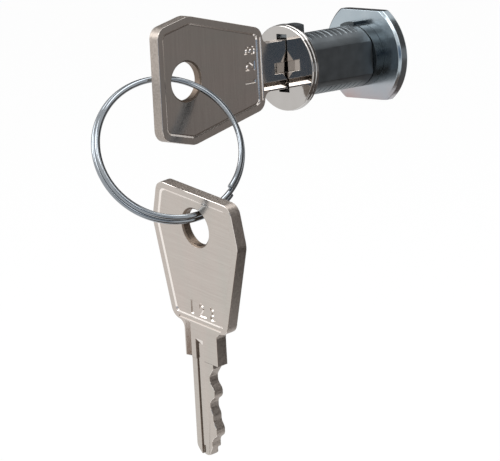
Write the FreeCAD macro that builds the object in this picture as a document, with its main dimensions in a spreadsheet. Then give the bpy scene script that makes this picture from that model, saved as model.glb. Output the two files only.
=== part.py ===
"""Cylinder door lock with one key in it and a spare key hanging from a split ring.

Millimetres. Y runs along the lock's axis, from the key towards the locking disc. Z is up.
The origin is on the axis, at the rear face of the head's flange, which seats on the door.
"""
import FreeCAD
import Part
import Sketcher
import math
import os

Vector = FreeCAD.Vector
DOC = FreeCAD.newDocument("CylinderDoorLock")
SHEET = DOC.addObject("Spreadsheet::Sheet", "Sizes")

# Alias, value, what it measures
SIZES = [
    ("run_gap", 0.05, "running clearance of the turning pieces"),
    ("face_dia", 18.0, "face plate"),
    ("face_thick", 0.75, "face plate thickness"),
    ("face_edge", 0.2, "chamfer round the face plate"),
    ("flange_dia", 18.2, "housing flange"),
    ("flange_thick", 0.8, "housing flange thickness"),
    ("barrel_dia", 13.1, "housing barrel"),
    ("barrel_flats", 11.2, "housing barrel across its flats"),
    ("barrel_length", 19.2, "flange seat to the barrel's rear end"),
    ("barrel_edge", 0.3, "chamfer at the barrel's rear end"),
    ("lug_width", 4.4, "anti-turn lug across"),
    ("lug_length", 3.0, "anti-turn lug along the axis"),
    ("lug_top", 9.0, "anti-turn lug above the axis"),
    ("channel_wall", 0.85, "barrel wall left outside a locking channel"),
    ("channel_play", 0.2, "room beside the wafers in a locking channel"),
    ("plug_dia", 10.0, "plug"),
    ("plug_head_dia", 12.4, "plug head"),
    ("plug_head_thick", 0.55, "plug head thickness"),
    ("slot_width", 3.0, "key slot in the face plate across"),
    ("slot_below", 5.95, "key slot below the key's middle"),
    ("slot_above", 6.2, "key slot above the key's middle"),
    ("key_rise", 0.9, "key's middle above the axis"),
    ("key_play", 0.15, "play of the key in the keyway"),
    ("keyway_spare", 0.2, "keyway behind the key's tip"),
    ("wafer_first", 4.65, "face plate to the first wafer's middle"),
    ("wafer_pitch", 2.9, "wafer to wafer"),
    ("wafer_thick", 0.9, "wafer thickness"),
    ("wafer_play", 0.08, "play of a wafer in its slot"),
    ("wafer_width", 4.2, "wafer width"),
    ("wafer_sink", 0.1, "wafer ends below the plug's surface"),
    ("ear_reach", 3.3, "wafer ear from the middle"),
    ("ear_high", 0.8, "wafer ear height"),
    ("ear_travel", 1.2, "room above the ear"),
    ("spring_dia", 0.9, "wafer spring"),
    ("spring_bore", 0.5, "wafer spring inside"),
    ("spring_length", 2.6, "wafer spring length under the ear"),
    ("washer_dia", 13.1, "stop washer"),
    ("washer_thick", 2.3, "stop washer thickness"),
    ("drive_flats", 8.4, "plug end across the flats that turn the stop washer"),
    ("tab_left", 3.3, "stop tab, left side from the middle"),
    ("tab_right", 0.8, "stop tab, right side from the middle"),
    ("tab_inner", 5.85, "stop tab, inner radius"),
    ("tab_outer", 7.3, "stop tab, outer radius"),
    ("tab_gap", 0.1, "stop tab clear of its notch"),
    ("notch_depth", 0.6, "stop notch along the axis"),
    ("turn_angle", 90.0, "degrees that the key turns"),
    ("stop_slack", 1.5, "degrees between tab and stop"),
    ("disc_dia", 22.6, "locking disc"),
    ("disc_flats", 18.8, "locking disc across its flats"),
    ("disc_thick", 2.6, "locking disc thickness"),
    ("disc_edge", 0.5, "chamfer round the locking disc"),
    ("tail_dia", 7.0, "plug tail in the locking disc"),
    ("tail_flats", 5.2, "plug tail across its flats"),
    ("tail_short", 0.2, "plug tail ends inside the disc"),
    ("screw_dia", 4.0, "tail screw"),
    ("screw_depth", 2.0, "tail screw in the plug's tail"),
    ("screw_head_dia", 7.6, "tail screw head"),
    ("screw_head_high", 2.2, "tail screw head height"),
    ("screw_head_edge", 0.6, "rounding of the tail screw's head"),
    ("driver_width", 1.1, "driver slot across"),
    ("driver_depth", 1.0, "driver slot depth"),
    ("spring_washer_dia", 7.0, "spring washer"),
    ("spring_washer_thick", 0.9, "spring washer thickness"),
    ("spring_washer_split", 0.7, "gap in the spring washer"),
    ("bow_thick", 2.6, "key thickness at the bow"),
    ("bow_back", 36.2, "bow's end before the face plate"),
    ("bow_back_half", 11.5, "bow's half width at its end"),
    ("bow_wide_at", 27.3, "bow's widest place before the face plate"),
    ("bow_wide_half", 13.45, "bow's half width at its widest place"),
    ("bow_front", 6.7, "bow's shoulder before the face plate"),
    ("bow_front_half", 8.4, "bow's half width at its shoulder"),
    ("bow_corner", 2.6, "corner radius of the bow's end and shoulder"),
    ("bow_wide_corner", 4.0, "corner radius of the bow's widest place"),
    ("rim_width", 1.7, "raised rim round the bow's panel"),
    ("panel_depth", 0.2, "bow panel below its rim"),
    ("panel_corner", 1.2, "corner radius of the bow's panel"),
    ("rib_width", 0.5, "raised rib before the bow's shoulder"),
    ("rib_gap", 0.6, "panel between that rib and the rim"),
    ("hole_at", 28.6, "ring hole before the face plate"),
    ("hole_dia", 8.0, "ring hole"),
    ("hole_edge", 0.3, "chamfer of the ring hole"),
    ("neck_half", 5.1, "neck's half width"),
    ("neck_end", 0.95, "neck's end behind the face plate's front"),
    ("neck_corner", 1.6, "hollow corner between bow and neck"),
    ("bevel_wall", 3.2, "bevelled groove, wall from the key's middle"),
    ("bevel_width", 1.5, "bevelled groove across"),
    ("bevel_depth", 1.2, "bevelled groove at its wall"),
    ("bevel_reach", 6.9, "bevelled groove before the face plate"),
    ("blade_half", 3.3, "blade's half height"),
    ("blade_thick", 2.3, "blade thickness"),
    ("blade_length", 22.6, "blade's tip behind the face plate's front"),
    ("tip_bottom", 1.7, "slope under the tip"),
    ("tip_drop", 1.4, "fall from the last cut to the tip"),
    ("tip_round", 1.7, "rounding of the tip's corners"),
    ("cut_flat", 1.6, "flat length of each cut"),
    ("cut_round", 1.4, "rounding of the cuts' corners"),
    ("ramp_start", 1.95, "start of the first cut's ramp"),
    ("groove_middle", 0.6, "front groove's middle below the key's middle"),
    ("groove_width", 2.2, "front groove across"),
    ("groove_depth", 0.5, "grooves' depth in the blade"),
    ("groove_reach", 3.6, "grooves before the face plate"),
    ("back_groove_middle", 1.1, "rear groove's middle above the key's middle"),
    ("back_groove_width", 0.8, "rear groove across"),
    ("ring_mean", 15.4, "split ring's radius to the middle of its wire"),
    ("ring_wire", 1.1, "split ring's wire"),
    ("ring_gap", 0.45, "gap between the split ring's two turns"),
    ("ring_hang", 145.0, "degrees round the ring from one key to the other"),
    ("hang_gap", 0.5, "spare key's hole clear of the wire"),
]
# How far each cut lies below the blade's edge; one wafer stands over each
CUT_DEPTHS = (1.3, 0.0, 1.55, 0.85, 0.0, 1.6)

# Places and lengths closer than this are the same
NEAR = 0.001

# Directions of the ring and of the spare key as they hang
RING_NORMAL = Vector(-0.783, 0.406, -0.472)
RING_TO_KEY = Vector(-0.223, 0.525, 0.821)
SPARE_ALONG = Vector(-0.174, 0.165, -0.971)
SPARE_ACROSS = Vector(0.982, -0.049, -0.184)

# Turns of the ring's wire, and points taken on each of its arcs to measure its gap
RING_TURNS = 2
GAP_SAMPLES = 6

for row, (alias, size, words) in enumerate(SIZES, start=1):
    SHEET.set(f"A{row}", words)
    SHEET.set(f"B{row}", str(size))
    SHEET.setAlias(f"B{row}", alias)
DOC.recompute()

ALONG_Y = FreeCAD.Rotation(Vector(1, 0, 0), -90)
FAR = "2 * $disc_dia"

# Places along the axis
FACE_BACK = "(-$flange_thick - $run_gap)"
FACE_FRONT = f"({FACE_BACK} - $face_thick)"
SLOT_FLOOR = f"({FACE_FRONT} + $neck_end + $run_gap)"
HEAD_BACK = f"({FACE_BACK} + $plug_head_thick)"
WASHER_FRONT = "($barrel_length + $run_gap)"
DISC_FRONT = f"({WASHER_FRONT} + $washer_thick)"
DISC_BACK = f"({DISC_FRONT} + $disc_thick)"
TAIL_END = f"({DISC_BACK} - $tail_short)"
SCREW_SEAT = f"({DISC_BACK} + $spring_washer_thick)"
KEYWAY_END = f"({FACE_FRONT} + $blade_length + $keyway_spare)"
CHANNEL_START = f"({FACE_FRONT} + $wafer_first - $wafer_thick / 2 - $channel_play)"
CHANNEL_END = (
    f"({FACE_FRONT} + $wafer_first + {len(CUT_DEPTHS) - 1} * $wafer_pitch"
    " + $wafer_thick / 2 + $channel_play)"
)
BORE = "($plug_dia / 2 + $run_gap)"
BARREL_TOP = "($barrel_dia / 2)"


def cells(words):
    """An expression in which each name after a $ is a cell of the sheet."""
    return words.replace("$", "Sizes.")


def value(words):
    """The number that an expression stands for."""
    return float(SHEET.evalExpression(cells(words)))


def bind(obj, **expressions):
    """Binds properties of an object to the sheet; _of_ stands for a dot."""
    for name, words in expressions.items():
        obj.setExpression(name.replace("_of_", "."), cells(words))
    return obj


def rod(name, radius, low, high):
    """A cylinder about the axis between two places along it."""
    obj = DOC.addObject("Part::Cylinder", name)
    obj.Placement = FreeCAD.Placement(Vector(), ALONG_Y)
    bind(obj, Radius=radius, Height=f"({high}) - ({low})", Placement_of_Base_of_y=low)
    return obj


def block(name, x, y, z):
    """A box between a low and a high place along each axis."""
    obj = DOC.addObject("Part::Box", name)
    length, width, height = (f"({high}) - ({low})" for low, high in (x, y, z))
    bind(obj, Length=length, Width=width, Height=height)
    bind(obj, Placement_of_Base_of_x=x[0], Placement_of_Base_of_y=y[0], Placement_of_Base_of_z=z[0])
    return obj


def both(words):
    """A place on either side of the middle."""
    return f"-({words})", f"({words})"


def join(name, *pieces):
    """One solid out of several."""
    obj = DOC.addObject("Part::MultiFuse", name)
    obj.Shapes = list(pieces)
    obj.Refine = True
    return obj


def cut(name, base, *tools):
    """A solid less some others."""
    obj = DOC.addObject("Part::Cut", name)
    obj.Base = base
    obj.Tool = tools[0] if len(tools) == 1 else join(name + "_tools", *tools)
    obj.Refine = True
    return obj


def overlap(name, *pieces):
    """What some solids share."""
    obj = DOC.addObject("Part::MultiCommon", name)
    obj.Shapes = list(pieces)
    obj.Refine = True
    return obj


def flatted_rod(name, radius, half_flats, low, high):
    """A cylinder about the axis with two flats facing left and right."""
    sides = block(name + "_flats", both(half_flats), (low, high), both(FAR))
    return overlap(name, rod(name + "_round", radius, low, high), sides)


def rim_numbers(shape, radius, place):
    """Edge numbers of the full circles of a radius at a place along the axis."""
    found = []
    for number, edge in enumerate(shape.Edges, start=1):
        if not isinstance(edge.Curve, Part.Circle):
            continue
        centre = edge.Curve.Center
        on_axis = math.hypot(centre.x, centre.z) < NEAR and abs(centre.y - place) < NEAR
        if on_axis and abs(edge.Curve.Radius - radius) < NEAR:
            found.append(number)
    return found


def edged(name, kind, base, amount, radius, places):
    """Chamfers or rounds the rims of a turned piece."""
    DOC.recompute()
    obj = DOC.addObject("Part::" + kind, name)
    obj.Base = base
    width = value(amount)
    rims = [n for place in places for n in rim_numbers(base.Shape, value(radius), value(place))]
    obj.Edges = [(n, width, width) for n in rims]
    return obj


def keep(obj, label):
    """Names a finished piece after its node."""
    obj.Label = label
    return obj


def wafer_middle(index):
    """A wafer's middle along the axis."""
    return f"({FACE_FRONT} + $wafer_first + {index} * $wafer_pitch)"


def make_housing():
    """Flange, barrel with two flats, anti-turn lug, locking channels and stop notch."""
    flange = rod("flange_plain", "$flange_dia / 2", "-$flange_thick", "0")
    flange = edged("flange", "Chamfer", flange, "$face_edge", "$flange_dia / 2", ["-$flange_thick"])
    barrel = rod("barrel_plain", BARREL_TOP, "-$flange_thick / 2", "$barrel_length")
    barrel = edged("barrel_round", "Chamfer", barrel, "$barrel_edge", BARREL_TOP, ["$barrel_length"])
    flats = block("barrel_flats", both("$barrel_flats / 2"), both(FAR), both(FAR))
    barrel = overlap("barrel", barrel, flats)
    root = "-$flange_thick / 2"
    lug_box = block("lug_box", both("$lug_width / 2"), (root, "$lug_length"), (BORE, FAR))
    lug = overlap("lug", lug_box, rod("lug_round", "$lug_top", root, "$lug_length"))

    bore = rod("bore", BORE, f"-{FAR}", FAR)
    seat = rod("head_seat", "$plug_head_dia / 2 + $run_gap", f"-{FAR}", f"{HEAD_BACK} + $run_gap")
    reach = f"{BARREL_TOP} - $channel_wall"
    width = "$wafer_width / 2 + $channel_play"
    channel = block("locking_channel", both(width), (CHANNEL_START, CHANNEL_END), both(reach))

    # The tab passes through a sector of the barrel's end, turning anticlockwise seen from the front
    tab_from = "asin($tab_left / $tab_inner)"
    tab_to = "asin($tab_right / $tab_inner)"
    sweep = f"($turn_angle + 2 * $stop_slack) * 1 deg + {tab_from} + {tab_to}"
    start = f"(-90 - $turn_angle - $stop_slack) * 1 deg - {tab_from}"
    notch_low = "$barrel_length - $notch_depth"
    sector = DOC.addObject("Part::Cylinder", "notch_sector")
    turned = f"rotation(vector(0; 1; 0); {start}) * rotation(vector(1; 0; 0); -90)"
    bind(sector, Radius=FAR, Height=FAR, Angle=sweep)
    bind(sector, Placement=f"placement(vector(0; {notch_low}; 0); {turned})")
    core = rod("notch_core", "$tab_inner - $tab_gap", "0", f"2 * {FAR}")
    notch = cut("stop_notch", sector, core)

    solid = join("housing_solid", flange, barrel, lug)
    keep(cut("housing", solid, bore, seat, channel, notch), "lock_housing")


def key_slot(name, end):
    """The slot that takes the key's neck, from in front of the lock to a place."""
    low = "$key_rise - $slot_below"
    high = "($key_rise + $slot_above)"
    return block(name, both("$slot_width / 2"), (f"-{FAR}", end), (low, high))


def make_face_plate():
    """The round plate in front of the flange, with the key slot."""
    plate = rod("face_plain", "$face_dia / 2", FACE_FRONT, FACE_BACK)
    plate = edged("face_round", "Chamfer", plate, "$face_edge", "$face_dia / 2", [FACE_FRONT])
    keep(cut("face_cut", plate, key_slot("face_slot", "0")), "face_plate")


def make_keyway():
    """The keyway's hollow, with the two ribs that stand in the key's grooves left out."""
    half = "$blade_thick / 2 + $key_play"
    low = "$key_rise - $blade_half - $key_play"
    high = "($key_rise + $blade_half + $key_play)"
    hollow = block("keyway_box", both(half), (f"-{FAR}", KEYWAY_END), (low, high))
    floor = "$blade_thick / 2 - $groove_depth + $key_play"
    ribs = []
    for side, middle, width in (
        ("front", "$key_rise - $groove_middle", "$groove_width"),
        ("rear", "$key_rise + $back_groove_middle", "$back_groove_width"),
    ):
        across = (floor, f"({half})") if side == "front" else (f"-({half})", f"-({floor})")
        height = (f"{middle} - {width} / 2 + $key_play", f"({middle} + {width} / 2 - $key_play)")
        ribs.append(block(f"keyway_rib_{side}", across, (f"-{FAR}", FAR), height))
    return cut("keyway", hollow, *ribs)


def make_plug():
    """The turning cylinder with its head, wafer slots, spring pockets, flatted end and tail."""
    head = rod("plug_head", "$plug_head_dia / 2", FACE_BACK, HEAD_BACK)
    body = rod("plug_body", "$plug_dia / 2", FACE_BACK, WASHER_FRONT)
    drive = flatted_rod("plug_drive", "$plug_dia / 2", "$drive_flats / 2", WASHER_FRONT, DISC_FRONT)
    tail = flatted_rod("plug_tail", "$tail_dia / 2", "$tail_flats / 2", DISC_FRONT, TAIL_END)
    tools = [make_keyway(), key_slot("plug_slot", SLOT_FLOOR)]
    deep = f"{TAIL_END} - $screw_depth"
    tools.append(rod("screw_hole", "$screw_dia / 2 + $run_gap", deep, DISC_BACK))
    for index in range(len(CUT_DEPTHS)):
        middle = wafer_middle(index)
        half = "($wafer_thick / 2 + $wafer_play)"
        along = (f"{middle} - {half}", f"({middle} + {half})")
        across = both("$wafer_width / 2 + $wafer_play")
        slot = block(f"wafer_slot_{index + 1}", across, along, both(FAR))
        ear_side = ("0", "$ear_reach + $wafer_play")
        ear_height = ("-$ear_high / 2 - $spring_length", "($ear_high / 2 + $ear_travel)")
        pocket = block(f"spring_pocket_{index + 1}", ear_side, along, ear_height)
        tools += [slot, pocket]
    keep(cut("plug_cut", join("plug_solid", head, body, drive, tail), *tools), "plug")


def make_wafer(index):
    """A flat plate with round ends, a window for the blade and an ear for its spring."""
    middle = wafer_middle(index)
    along = (f"{middle} - $wafer_thick / 2", f"({middle} + $wafer_thick / 2)")
    plate = block(f"wafer_plate_{index + 1}", both("$wafer_width / 2"), along, both(FAR))
    ends = rod(f"wafer_ends_{index + 1}", "$plug_dia / 2 - $wafer_sink", along[0], along[1])
    ear = block(f"wafer_ear_{index + 1}", ("0", "$ear_reach"), along, both("$ear_high / 2"))
    solid = join(f"wafer_solid_{index + 1}", overlap(f"wafer_round_{index + 1}", plate, ends), ear)
    half = "$blade_thick / 2 + $key_play"
    low = "$key_rise - $blade_half - $key_play"
    high = "($key_rise + $blade_half + $key_play)"
    window = block(f"wafer_window_{index + 1}", both(half), (f"-{FAR}", FAR), (low, high))
    keep(cut(f"wafer_cut_{index + 1}", solid, window), f"wafer_{index + 1}")


def make_wafer_spring(index):
    """The small spring under a wafer's ear, as a closed tube of its outer size."""
    place = "($wafer_width / 2 + $wafer_play + $spring_dia / 2)"
    base = "(-$ear_high / 2 - $spring_length)"
    tubes = []
    for part, diameter in (("outside", "$spring_dia"), ("inside", "$spring_bore")):
        tube = DOC.addObject("Part::Cylinder", f"spring_{part}_{index + 1}")
        bind(tube, Radius=f"{diameter} / 2", Height="$spring_length")
        bind(tube, Placement_of_Base_of_x=place, Placement_of_Base_of_y=wafer_middle(index))
        bind(tube, Placement_of_Base_of_z=base)
        tubes.append(tube)
    keep(cut(f"spring_tube_{index + 1}", *tubes), f"wafer_spring_{index + 1}")


def make_stop_washer():
    """The collar behind the barrel, with the tab that runs in the barrel's notch."""
    collar = rod("washer_round", "$washer_dia / 2", WASHER_FRONT, DISC_FRONT)
    tab_front = "$barrel_length - $notch_depth + $tab_gap"
    tab_box = block("tab_box", ("-$tab_left", "$tab_right"), (tab_front, DISC_FRONT), ("0", FAR))
    tab_outside = rod("tab_outside", "$tab_outer", tab_front, DISC_FRONT)
    tab_inside = rod("tab_inside", "$tab_inner", tab_front, DISC_FRONT)
    tab = cut("tab", overlap("tab_round", tab_box, tab_outside), tab_inside)
    hole = flatted_rod("washer_hole", BORE, "$drive_flats / 2 + $run_gap", "0", FAR)
    keep(cut("washer_cut", join("washer_solid", collar, tab), hole), "stop_washer")


def make_locking_disc():
    """The thick disc with two flats that turns behind the door's strike."""
    disc = rod("disc_plain", "$disc_dia / 2", DISC_FRONT, DISC_BACK)
    disc = edged("disc_round", "Chamfer", disc, "$disc_edge", "$disc_dia / 2", [DISC_FRONT, DISC_BACK])
    flats = block("disc_flats", both(FAR), (DISC_FRONT, DISC_BACK), both("$disc_flats / 2"))
    hole = flatted_rod("disc_hole", "$tail_dia / 2 + $run_gap", "$tail_flats / 2 + $run_gap", "0", FAR)
    keep(cut("disc_cut", overlap("disc_flatted", disc, flats), hole), "locking_disc")


def make_fasteners():
    """The tail screw and the split spring washer under its head."""
    ring = rod("spring_washer_round", "$spring_washer_dia / 2", DISC_BACK, SCREW_SEAT)
    hole = rod("spring_washer_hole", "$screw_dia / 2 + $run_gap", "0", FAR)
    half = "$spring_washer_split / 2"
    split = block("spring_washer_gap", ("0", FAR), ("0", FAR), both(half))
    keep(cut("spring_washer_cut", ring, hole, split), "spring_washer")

    shank = rod("screw_shank", "$screw_dia / 2", f"{TAIL_END} - $screw_depth + $run_gap", SCREW_SEAT)
    head_end = f"({SCREW_SEAT} + $screw_head_high)"
    head = rod("screw_head_plain", "$screw_head_dia / 2", SCREW_SEAT, head_end)
    head = edged("screw_head", "Fillet", head, "$screw_head_edge", "$screw_head_dia / 2", [head_end])
    slot = (f"{head_end} - $driver_depth", FAR)
    driver = block("driver_slot", both(FAR), slot, both("$driver_width / 2"))
    keep(cut("screw_cut", join("screw_solid", shank, head), driver), "tail_screw")


def plane(body, role):
    """One of a body's own origin planes."""
    return next(item for item in body.Origin.OriginFeatures if item.Role == role)


def outline(body, name, corners, role="XY_Plane", offset="0"):
    """A closed sketch through corners, each place bound to the sheet."""
    sketch = body.newObject("Sketcher::SketchObject", name)
    sketch.AttachmentSupport = [(plane(body, role), "")]
    sketch.MapMode = "FlatFace"
    sketch.setExpression("AttachmentOffset.Base.z", cells(offset))
    places = [Vector(value(across), value(up), 0) for across, up in corners]
    for start, end in zip(places, places[1:] + places[:1]):
        sketch.addGeometry(Part.LineSegment(start, end))
    for index, (across, up) in enumerate(corners):
        following = (index + 1) % len(corners)
        sketch.addConstraint(Sketcher.Constraint("Coincident", index, 2, following, 1))
        for kind, words in (("DistanceX", across), ("DistanceY", up)):
            held = Sketcher.Constraint(kind, -1, 1, index, 1, value(words))
            sketch.setExpression(f"Constraints[{sketch.addConstraint(held)}]", cells(words))
    return sketch


def pad(body, name, sketch, thickness):
    """Thickens an outline to both sides of its plane."""
    feature = body.newObject("PartDesign::Pad", name)
    feature.Profile = sketch
    feature.SideType = "Symmetric"
    bind(feature, Length=thickness)
    return feature


def pocket(body, name, sketch, depth, upwards=False):
    """Cuts an outline below its plane, or above it."""
    feature = body.newObject("PartDesign::Pocket", name)
    feature.Profile = sketch
    feature.Reversed = upwards
    bind(feature, Length=depth)
    return feature


def round_uprights(body, name, feature, places, radius):
    """Rounds the edges that stand at some places of an outline."""
    DOC.recompute()
    spots = [(value(across), value(up)) for across, up in places]
    names = []
    for number, edge in enumerate(feature.Shape.Edges, start=1):
        low, high = edge.BoundBox.ZMin, edge.BoundBox.ZMax
        if len(edge.Vertexes) != 2 or high - low < edge.Length - NEAR:
            continue
        x, y = edge.Vertexes[0].X, edge.Vertexes[0].Y
        if any(math.hypot(x - spot[0], y - spot[1]) < NEAR for spot in spots):
            names.append(f"Edge{number}")
    fillet = body.newObject("PartDesign::Fillet", name)
    fillet.Base = (feature, names)
    bind(fillet, Radius=radius)
    return fillet


def mirrored(corners):
    """An outline's corners above the middle, then the same below it, back again."""
    return corners + [(across, f"-({up})") for across, up in reversed(corners)]


def cut_corners():
    """The two corners of each cut in the blade, from the bow to the tip."""
    corners = []
    for index, depth in enumerate(CUT_DEPTHS):
        middle = f"$wafer_first + {index} * $wafer_pitch"
        level = f"$blade_half - {depth}"
        corners += [(f"{middle} - $cut_flat / 2", level), (f"{middle} + $cut_flat / 2", level)]
    return corners


def tip_corners():
    """The three corners of the blade's tip, from its cut side to its straight side."""
    return [
        ("$blade_length", f"$blade_half - {CUT_DEPTHS[-1]} - $tip_drop"),
        ("$blade_length", "$tip_bottom - $blade_half"),
        ("$blade_length - $tip_bottom", "-$blade_half"),
    ]


def blade_corners():
    """The blade's outline: straight below, with one cut above for each wafer, then the tip."""
    start = [("-$bow_front / 2", "$blade_half"), ("$ramp_start", "$blade_half")]
    return start + cut_corners() + tip_corners() + [("-$bow_front / 2", "-$blade_half")]


def within_rim(reach):
    """A corner inside the rim, so far behind the bow's shoulder."""
    taper = "($bow_wide_half - $bow_front_half) / ($bow_wide_at - $bow_front)"
    return f"-$bow_front - ({reach})", f"$bow_front_half - $rim_width + ({reach}) * {taper}"


def panel_corners():
    """The sunk panel of the bow: its outline drawn in by the rim."""
    slope = "($bow_wide_half - $bow_back_half) / ($bow_back - $bow_wide_at)"
    return mirrored([
        ("-$bow_back + $rim_width", f"$bow_back_half - $rim_width + $rim_width * {slope}"),
        ("-$bow_wide_at", "$bow_wide_half - $rim_width"),
        within_rim("$rim_width + $rib_width + $rib_gap"),
    ])


def line_corners():
    """The sunk line between the rim and the rib before the bow's shoulder."""
    return mirrored([within_rim("$rim_width + $rib_gap"), within_rim("$rim_width")])


def make_key(name):
    """One key. Along its X the blade runs inwards from the face plate; its cuts face +Y."""
    body = DOC.addObject("PartDesign::Body", name + "_body")
    ends = [("-$bow_back", "$bow_back_half"), ("-$bow_front", "$bow_front_half")]
    wide = [("-$bow_wide_at", "$bow_wide_half")]
    neck = [("-$bow_front", "$neck_half"), ("$neck_end", "$neck_half")]
    corners = mirrored([ends[0], wide[0], ends[1]] + neck)
    bow = pad(body, name + "_bow", outline(body, name + "_bow_outline", corners), "$bow_thick")
    bow = round_uprights(body, name + "_ends", bow, mirrored(ends), "$bow_corner")
    bow = round_uprights(body, name + "_sides", bow, mirrored(wide), "$bow_wide_corner")
    round_uprights(body, name + "_hollows", bow, mirrored(neck[:1]), "$neck_corner")
    sketch = outline(body, name + "_blade_outline", blade_corners())
    blade = pad(body, name + "_blade", sketch, "$blade_thick")
    blade = round_uprights(body, name + "_tip", blade, tip_corners(), "$tip_round")
    round_uprights(body, name + "_cuts", blade, cut_corners(), "$cut_round")

    half = "$bow_thick / 2"
    for side, face, upwards in (("front", half, False), ("rear", f"-{half}", True)):
        sketch = outline(body, f"{name}_panel_outline_{side}", panel_corners(), offset=face)
        panel = pocket(body, f"{name}_panel_{side}", sketch, "$panel_depth", upwards)
        round_uprights(body, f"{name}_panel_round_{side}", panel, panel_corners(), "$panel_corner")
        sketch = outline(body, f"{name}_line_outline_{side}", line_corners(), offset=face)
        pocket(body, f"{name}_line_{side}", sketch, "$panel_depth", upwards)

    wedge = [
        ("-$bevel_wall", f"{half} - $bevel_depth"),
        ("-$bevel_wall", f"{half} + $bevel_depth"),
        ("-$bevel_wall - 2 * $bevel_width", f"{half} + $bevel_depth"),
    ]
    sketch = outline(body, name + "_bevel_outline", wedge, "YZ_Plane", "$neck_end")
    pocket(body, name + "_bevel", sketch, "$neck_end + $bevel_reach")
    floor = "$blade_thick / 2 - $groove_depth"
    for side, middle, width in (
        ("front", "-$groove_middle", "$groove_width"),
        ("rear", "$back_groove_middle", "$back_groove_width"),
    ):
        levels = (floor, "$bow_thick") if side == "front" else (f"-({floor})", "-$bow_thick")
        edges = (f"{middle} - {width} / 2", f"{middle} + {width} / 2")
        low, high = levels
        section = [(edges[0], low), (edges[1], low), (edges[1], high), (edges[0], high)]
        sketch = outline(body, f"{name}_groove_outline_{side}", section, "YZ_Plane", "$blade_length")
        pocket(body, f"{name}_groove_{side}", sketch, "$blade_length + $groove_reach")

    circle = body.newObject("Sketcher::SketchObject", name + "_hole_outline")
    circle.AttachmentSupport = [(plane(body, "XY_Plane"), "")]
    circle.MapMode = "FlatFace"
    centre = Vector(-value("$hole_at"), 0, 0)
    circle.addGeometry(Part.Circle(centre, Vector(0, 0, 1), value("$hole_dia / 2")))
    circle.addConstraint(Sketcher.Constraint("PointOnObject", 0, 3, -1))
    for kind, words in (("DistanceX", "-$hole_at"), ("Radius", "$hole_dia / 2")):
        spot = (-1, 1, 0, 3) if kind == "DistanceX" else (0,)
        held = circle.addConstraint(Sketcher.Constraint(kind, *spot, value(words)))
        circle.setExpression(f"Constraints[{held}]", cells(words))
    hole = body.newObject("PartDesign::Pocket", name + "_hole")
    hole.Profile = circle
    hole.SideType = "Symmetric"
    bind(hole, Length="2 * $bow_thick")
    DOC.recompute()
    radius = value("$hole_dia / 2")
    rims = []
    for number, edge in enumerate(hole.Shape.Edges, start=1):
        if isinstance(edge.Curve, Part.Circle) and abs(edge.Curve.Radius - radius) < NEAR:
            if abs(edge.Length - 2 * math.pi * radius) < NEAR:
                rims.append(f"Edge{number}")
    chamfer = body.newObject("PartDesign::Chamfer", name + "_hole_edge")
    chamfer.Base = (hole, rims)
    bind(chamfer, Size="$hole_edge")
    DOC.recompute()
    return keep(body, name)


def biarc(start, leaving, end, arriving):
    """Two arcs that meet smoothly between two points with given directions."""
    gap = end - start
    total = leaving + arriving
    spread = 2 * (1 - leaving.dot(arriving))
    reach = gap.dot(total)
    length = (-reach + math.sqrt(reach * reach + spread * gap.dot(gap))) / spread
    first = start + leaving * length
    last = end - arriving * length
    joint = (first + last) * 0.5
    arcs = []
    for tail, corner, tip in ((start, first, joint), (joint, last, end)):
        chord = (tail + tip) * 0.5
        out = corner - chord
        half = (tip - tail).Length / 2
        rise = half * half / out.Length
        bend = math.hypot(half, rise)
        middle = chord + out.normalize() * (bend - rise)
        arcs.append(Part.Arc(tail, middle, tip).toShape())
    return arcs


def ring_point(turn, radius, pitch):
    """A point of the ring's wire, so many turns from its middle, which is opposite its ends."""
    angle = 2 * math.pi * turn
    return Vector(-radius * math.cos(angle), -radius * math.sin(angle), pitch * turn)


def ring_direction(turn, radius, pitch):
    """The wire's direction there."""
    angle = 2 * math.pi * turn
    return Vector(
        2 * math.pi * radius * math.sin(angle), -2 * math.pi * radius * math.cos(angle), pitch
    ).normalize()


def make_ring():
    """The split ring: one wire wound in two turns, its ends opposite the first key."""
    radius = value("$ring_mean")
    pitch = value("$ring_wire + $ring_gap")
    edges = []
    for quarter in range(4 * RING_TURNS):
        here, there = ((quarter + k) / 4 - RING_TURNS / 2 for k in (0, 1))
        points = ring_point(here, radius, pitch), ring_point(there, radius, pitch)
        ways = ring_direction(here, radius, pitch), ring_direction(there, radius, pitch)
        edges += biarc(points[0], ways[0], points[1], ways[1])
    path = Part.Wire(edges)
    start = ring_point(-RING_TURNS / 2, radius, pitch)
    way = ring_direction(-RING_TURNS / 2, radius, pitch)
    section = Part.Circle(start, way, value("$ring_wire / 2")).toShape()
    shell = Part.BRepOffsetAPI.MakePipeShell(path)
    shell.add(Part.Wire(section), False, False)
    shell.build()
    shell.makeSolid()
    ring = DOC.addObject("Part::Feature", "ring_wire_solid")
    ring.Shape = shell.shape()

    # The wire crosses the first key's hole halfway between its two turns
    hole = Vector(0, value(f"{FACE_FRONT} - $hole_at"), value("$key_rise"))
    normal = Vector(RING_NORMAL).normalize()
    sideways = normal.cross(RING_TO_KEY).normalize()
    to_key = sideways.cross(normal)
    turned = FreeCAD.Rotation(to_key, sideways, normal, "ZXY")
    ring.Placement = FreeCAD.Placement(hole - to_key * radius, turned)
    keep(ring, "key_ring")

    spots = []
    for edge in edges:
        first, last = edge.ParameterRange
        spots += [edge.valueAt(first + (last - first) * k / GAP_SAMPLES) for k in range(GAP_SAMPLES)]
    half_turn = len(spots) // (2 * RING_TURNS)
    gaps = []
    for index, spot in enumerate(spots):
        gaps += [(spot - other).Length for other in spots[index + half_turn:]]
    print("key_ring least gap to itself", round(min(gaps) - value("$ring_wire"), 3))
    length = sum(edge.Length for edge in edges)
    share = ring.Shape.Volume / (length * math.pi * value("$ring_wire / 2") ** 2)
    print("key_ring volume over section times length", round(share, 4))
    return ring


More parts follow.
